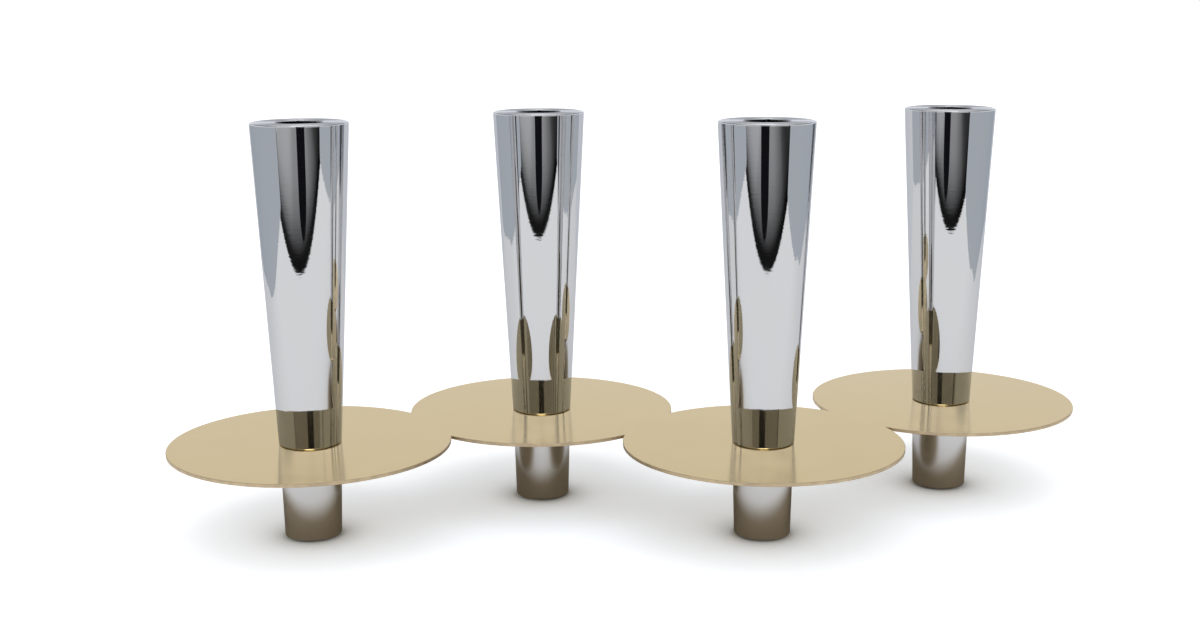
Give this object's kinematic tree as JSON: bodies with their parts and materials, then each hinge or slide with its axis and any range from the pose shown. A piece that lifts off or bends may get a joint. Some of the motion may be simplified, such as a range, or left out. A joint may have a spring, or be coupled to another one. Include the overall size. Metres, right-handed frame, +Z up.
{
  "type": "taper candle holder",
  "caption": "Low table candle holder: a zigzag brass plate of merged discs clamped between tapered chromed holders above and short tapered feet below.",
  "frame": {"origin": "on the table, under the middle of the plate's outline box", "axes": "+X along the plate's long way, towards the fourth holder; +Y towards the back of the picture; +Z up"},
  "size_m": [0.4426, 0.2088, 0.1951],
  "materials": {
    "chrome": "mirror-polished chrome plating",
    "brass": "fine satin brass sheet, lacquered, with a cut and deburred edge",
    "steel": "zinc-plated turned steel, hidden inside",
    "felt": "pressed felt"
  },
  "bodies": {
    "root": {"plate": "brass", "tube_1": "chrome", "tube_2": "chrome", "tube_3": "chrome", "tube_4": "chrome", "candle_socket_1": "chrome", "candle_socket_2": "chrome", "candle_socket_3": "chrome", "candle_socket_4": "chrome", "end_plug_1": "steel", "end_plug_2": "steel", "end_plug_3": "steel", "end_plug_4": "steel", "stud_1": "steel", "stud_2": "steel", "stud_3": "steel", "stud_4": "steel", "foot_1": "chrome", "foot_2": "chrome", "foot_3": "chrome", "foot_4": "chrome", "foot_pad_1": "felt", "foot_pad_2": "felt", "foot_pad_3": "felt", "foot_pad_4": "felt"}
  },
  "joints": []
}
